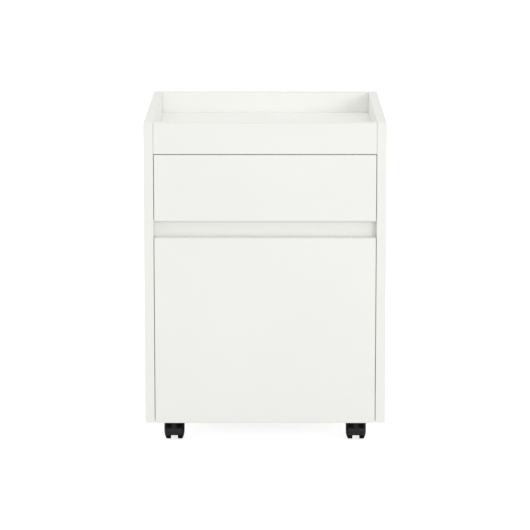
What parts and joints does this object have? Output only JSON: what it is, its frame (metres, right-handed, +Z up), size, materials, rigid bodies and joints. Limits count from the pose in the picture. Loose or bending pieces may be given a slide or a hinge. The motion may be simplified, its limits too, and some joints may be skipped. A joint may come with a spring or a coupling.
{
  "type": "rolling pedestal cabinet",
  "caption": "Low white pedestal cabinet on twin-wheel casters, with a tray top, a shallow drawer and a deep drawer that open from a grip recess between their fronts.",
  "frame": {"origin": "centre of the footprint on the floor, under the middle of the cabinet", "axes": "+Z up, the drawer fronts face -Y, +X to the right of a person facing the fronts"},
  "size_m": [0.4, 0.45, 0.55],
  "materials": {
    "white_laminate": "white melamine laminate on particle board, fine matt texture",
    "drawer_foil": "white foil on fibreboard, smooth satin",
    "drawer_bottom": "white painted hardboard, faint fibre texture",
    "slide_steel": "bright zinc-plated cold-rolled steel",
    "ball_steel": "polished steel balls in a zinc-plated cage",
    "screw_steel": "zinc-plated",
    "cam_zinc": "die-cast zinc, dull",
    "beech": "raw beech with compressed flutes",
    "zinc_plate": "zinc-plated pressing",
    "axle_steel": "turned steel",
    "caster_housing": "black moulded nylon, satin with a fine spark texture",
    "caster_wheel": "black moulded nylon, semi-gloss"
  },
  "bodies": {
    "cabinet": {"back_panel": "white_laminate", "bottom_panel": "white_laminate", "cam_bolts": "screw_steel", "cam_locks": "cam_zinc", "caster_king_pins": "axle_steel", "caster_plates": "zinc_plate", "caster_screws": "screw_steel", "dowels": "beech", "front_rail": "white_laminate", "grip_rail": "white_laminate", "lower_slide_outer_left": "slide_steel", "lower_slide_outer_right": "slide_steel", "side_panel_left": "white_laminate", "side_panel_right": "white_laminate", "slide_screws": "screw_steel", "tray_panel": "white_laminate", "upper_slide_outer_left": "slide_steel", "upper_slide_outer_right": "slide_steel"},
    "upper_drawer": {"upper_drawer_back": "drawer_foil", "upper_drawer_bottom": "drawer_bottom", "upper_drawer_front": "white_laminate", "upper_drawer_inner_front": "drawer_foil", "upper_drawer_screws": "screw_steel", "upper_drawer_side_left": "drawer_foil", "upper_drawer_side_right": "drawer_foil", "upper_slide_inner_left": "slide_steel", "upper_slide_inner_right": "slide_steel"},
    "upper_slide_middles": {"upper_slide_middle_left": "slide_steel", "upper_slide_middle_right": "slide_steel"},
    "upper_outer_cages": {"upper_outer_ball_cages": "ball_steel"},
    "upper_inner_cages": {"upper_inner_ball_cages": "ball_steel"},
    "lower_drawer": {"lower_drawer_back": "drawer_foil", "lower_drawer_bottom": "drawer_bottom", "lower_drawer_front": "white_laminate", "lower_drawer_inner_front": "drawer_foil", "lower_drawer_screws": "screw_steel", "lower_drawer_side_left": "drawer_foil", "lower_drawer_side_right": "drawer_foil", "lower_slide_inner_left": "slide_steel", "lower_slide_inner_right": "slide_steel"},
    "lower_slide_middles": {"lower_slide_middle_left": "slide_steel", "lower_slide_middle_right": "slide_steel"},
    "lower_outer_cages": {"lower_outer_ball_cages": "ball_steel"},
    "lower_inner_cages": {"lower_inner_ball_cages": "ball_steel"},
    "caster_front_left": {"caster_front_left_axle": "axle_steel", "caster_front_left_housing": "caster_housing"},
    "caster_front_left_left_wheel": {"caster_front_left_wheel_left": "caster_wheel"},
    "caster_front_left_right_wheel": {"caster_front_left_wheel_right": "caster_wheel"},
    "caster_front_right": {"caster_front_right_axle": "axle_steel", "caster_front_right_housing": "caster_housing"},
    "caster_front_right_left_wheel": {"caster_front_right_wheel_left": "caster_wheel"},
    "caster_front_right_right_wheel": {"caster_front_right_wheel_right": "caster_wheel"},
    "caster_rear_left": {"caster_rear_left_axle": "axle_steel", "caster_rear_left_housing": "caster_housing"},
    "caster_rear_left_left_wheel": {"caster_rear_left_wheel_left": "caster_wheel"},
    "caster_rear_left_right_wheel": {"caster_rear_left_wheel_right": "caster_wheel"},
    "caster_rear_right": {"caster_rear_right_axle": "axle_steel", "caster_rear_right_housing": "caster_housing"},
    "caster_rear_right_left_wheel": {"caster_rear_right_wheel_left": "caster_wheel"},
    "caster_rear_right_right_wheel": {"caster_rear_right_wheel_right": "caster_wheel"}
  },
  "joints": [
    {"name": "upper_drawer_slide", "type": "slide", "parent": "cabinet", "child": "upper_drawer", "axis": [0, -1, 0], "range_m": [0, 0.38]},
    {"name": "upper_slide_middles_slide", "type": "slide", "parent": "cabinet", "child": "upper_slide_middles", "axis": [0, -1, 0], "range_m": [0, 0.19]},
    {"name": "upper_outer_cages_slide", "type": "slide", "parent": "cabinet", "child": "upper_outer_cages", "axis": [0, -1, 0], "range_m": [0, 0.095]},
    {"name": "upper_inner_cages_slide", "type": "slide", "parent": "cabinet", "child": "upper_inner_cages", "axis": [0, -1, 0], "range_m": [0, 0.285]},
    {"name": "lower_drawer_slide", "type": "slide", "parent": "cabinet", "child": "lower_drawer", "axis": [0, -1, 0], "range_m": [0, 0.38]},
    {"name": "lower_slide_middles_slide", "type": "slide", "parent": "cabinet", "child": "lower_slide_middles", "axis": [0, -1, 0], "range_m": [0, 0.19]},
    {"name": "lower_outer_cages_slide", "type": "slide", "parent": "cabinet", "child": "lower_outer_cages", "axis": [0, -1, 0], "range_m": [0, 0.095]},
    {"name": "lower_inner_cages_slide", "type": "slide", "parent": "cabinet", "child": "lower_inner_cages", "axis": [0, -1, 0], "range_m": [0, 0.285]},
    {"name": "caster_front_left_swivel", "type": "hinge", "parent": "cabinet", "child": "caster_front_left", "pos_m": [-0.154, -0.16, 0.047], "axis": [0, 0, 1], "continuous": true},
    {"name": "caster_front_left_left_wheel_roll", "type": "hinge", "parent": "caster_front_left", "child": "caster_front_left_left_wheel", "pos_m": [-0.154, -0.143, 0.02], "axis": [1, 0, 0], "continuous": true},
    {"name": "caster_front_left_right_wheel_roll", "type": "hinge", "parent": "caster_front_left", "child": "caster_front_left_right_wheel", "pos_m": [-0.154, -0.143, 0.02], "axis": [1, 0, 0], "continuous": true},
    {"name": "caster_front_right_swivel", "type": "hinge", "parent": "cabinet", "child": "caster_front_right", "pos_m": [0.154, -0.16, 0.047], "axis": [0, 0, 1], "continuous": true},
    {"name": "caster_front_right_left_wheel_roll", "type": "hinge", "parent": "caster_front_right", "child": "caster_front_right_left_wheel", "pos_m": [0.154, -0.143, 0.02], "axis": [1, 0, 0], "continuous": true},
    {"name": "caster_front_right_right_wheel_roll", "type": "hinge", "parent": "caster_front_right", "child": "caster_front_right_right_wheel", "pos_m": [0.154, -0.143, 0.02], "axis": [1, 0, 0], "continuous": true},
    {"name": "caster_rear_left_swivel", "type": "hinge", "parent": "cabinet", "child": "caster_rear_left", "pos_m": [-0.154, 0.16, 0.047], "axis": [0, 0, 1], "continuous": true},
    {"name": "caster_rear_left_left_wheel_roll", "type": "hinge", "parent": "caster_rear_left", "child": "caster_rear_left_left_wheel", "pos_m": [-0.154, 0.177, 0.02], "axis": [1, 0, 0], "continuous": true},
    {"name": "caster_rear_left_right_wheel_roll", "type": "hinge", "parent": "caster_rear_left", "child": "caster_rear_left_right_wheel", "pos_m": [-0.154, 0.177, 0.02], "axis": [1, 0, 0], "continuous": true},
    {"name": "caster_rear_right_swivel", "type": "hinge", "parent": "cabinet", "child": "caster_rear_right", "pos_m": [0.154, 0.16, 0.047], "axis": [0, 0, 1], "continuous": true},
    {"name": "caster_rear_right_left_wheel_roll", "type": "hinge", "parent": "caster_rear_right", "child": "caster_rear_right_left_wheel", "pos_m": [0.154, 0.177, 0.02], "axis": [1, 0, 0], "continuous": true},
    {"name": "caster_rear_right_right_wheel_roll", "type": "hinge", "parent": "caster_rear_right", "child": "caster_rear_right_right_wheel", "pos_m": [0.154, 0.177, 0.02], "axis": [1, 0, 0], "continuous": true}
  ],
  "couplings": [
    {"joint": "upper_slide_middles_slide", "follows": "upper_drawer_slide", "ratio": 0.5},
    {"joint": "upper_outer_cages_slide", "follows": "upper_drawer_slide", "ratio": 0.25},
    {"joint": "upper_inner_cages_slide", "follows": "upper_drawer_slide", "ratio": 0.75},
    {"joint": "lower_slide_middles_slide", "follows": "lower_drawer_slide", "ratio": 0.5},
    {"joint": "lower_outer_cages_slide", "follows": "lower_drawer_slide", "ratio": 0.25},
    {"joint": "lower_inner_cages_slide", "follows": "lower_drawer_slide", "ratio": 0.75}
  ]
}
